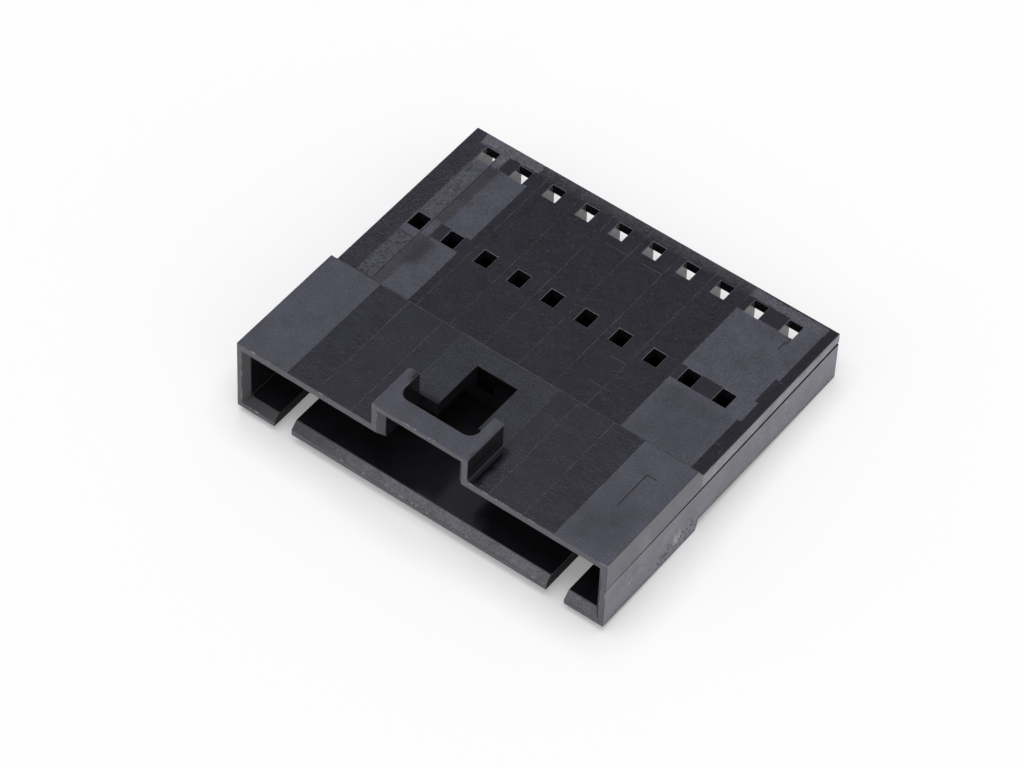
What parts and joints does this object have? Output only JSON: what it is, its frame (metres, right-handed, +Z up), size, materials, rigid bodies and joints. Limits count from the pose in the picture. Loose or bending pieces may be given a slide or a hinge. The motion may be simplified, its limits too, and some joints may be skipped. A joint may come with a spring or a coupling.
{
  "type": "crimp connector housing",
  "caption": "Moulded crimp connector housing: a shrouded mating mouth with a latch bridge on top, and behind it a flat block with a row of terminal cavities and windows.",
  "frame": {"origin": "under the middle of the housing, level with the underside of the shroud", "axes": "+X along the row of circuits, +Y from the mating mouth to the wire end, +Z up through the latch bridge"},
  "size_m": [0.0274, 0.0238, 0.0075],
  "materials": {
    "housing_plastic": "black moulded thermoplastic, polished in the middle and spark-eroded in the corner pads"
  },
  "bodies": {
    "root": {"housing": "housing_plastic"}
  },
  "joints": []
}
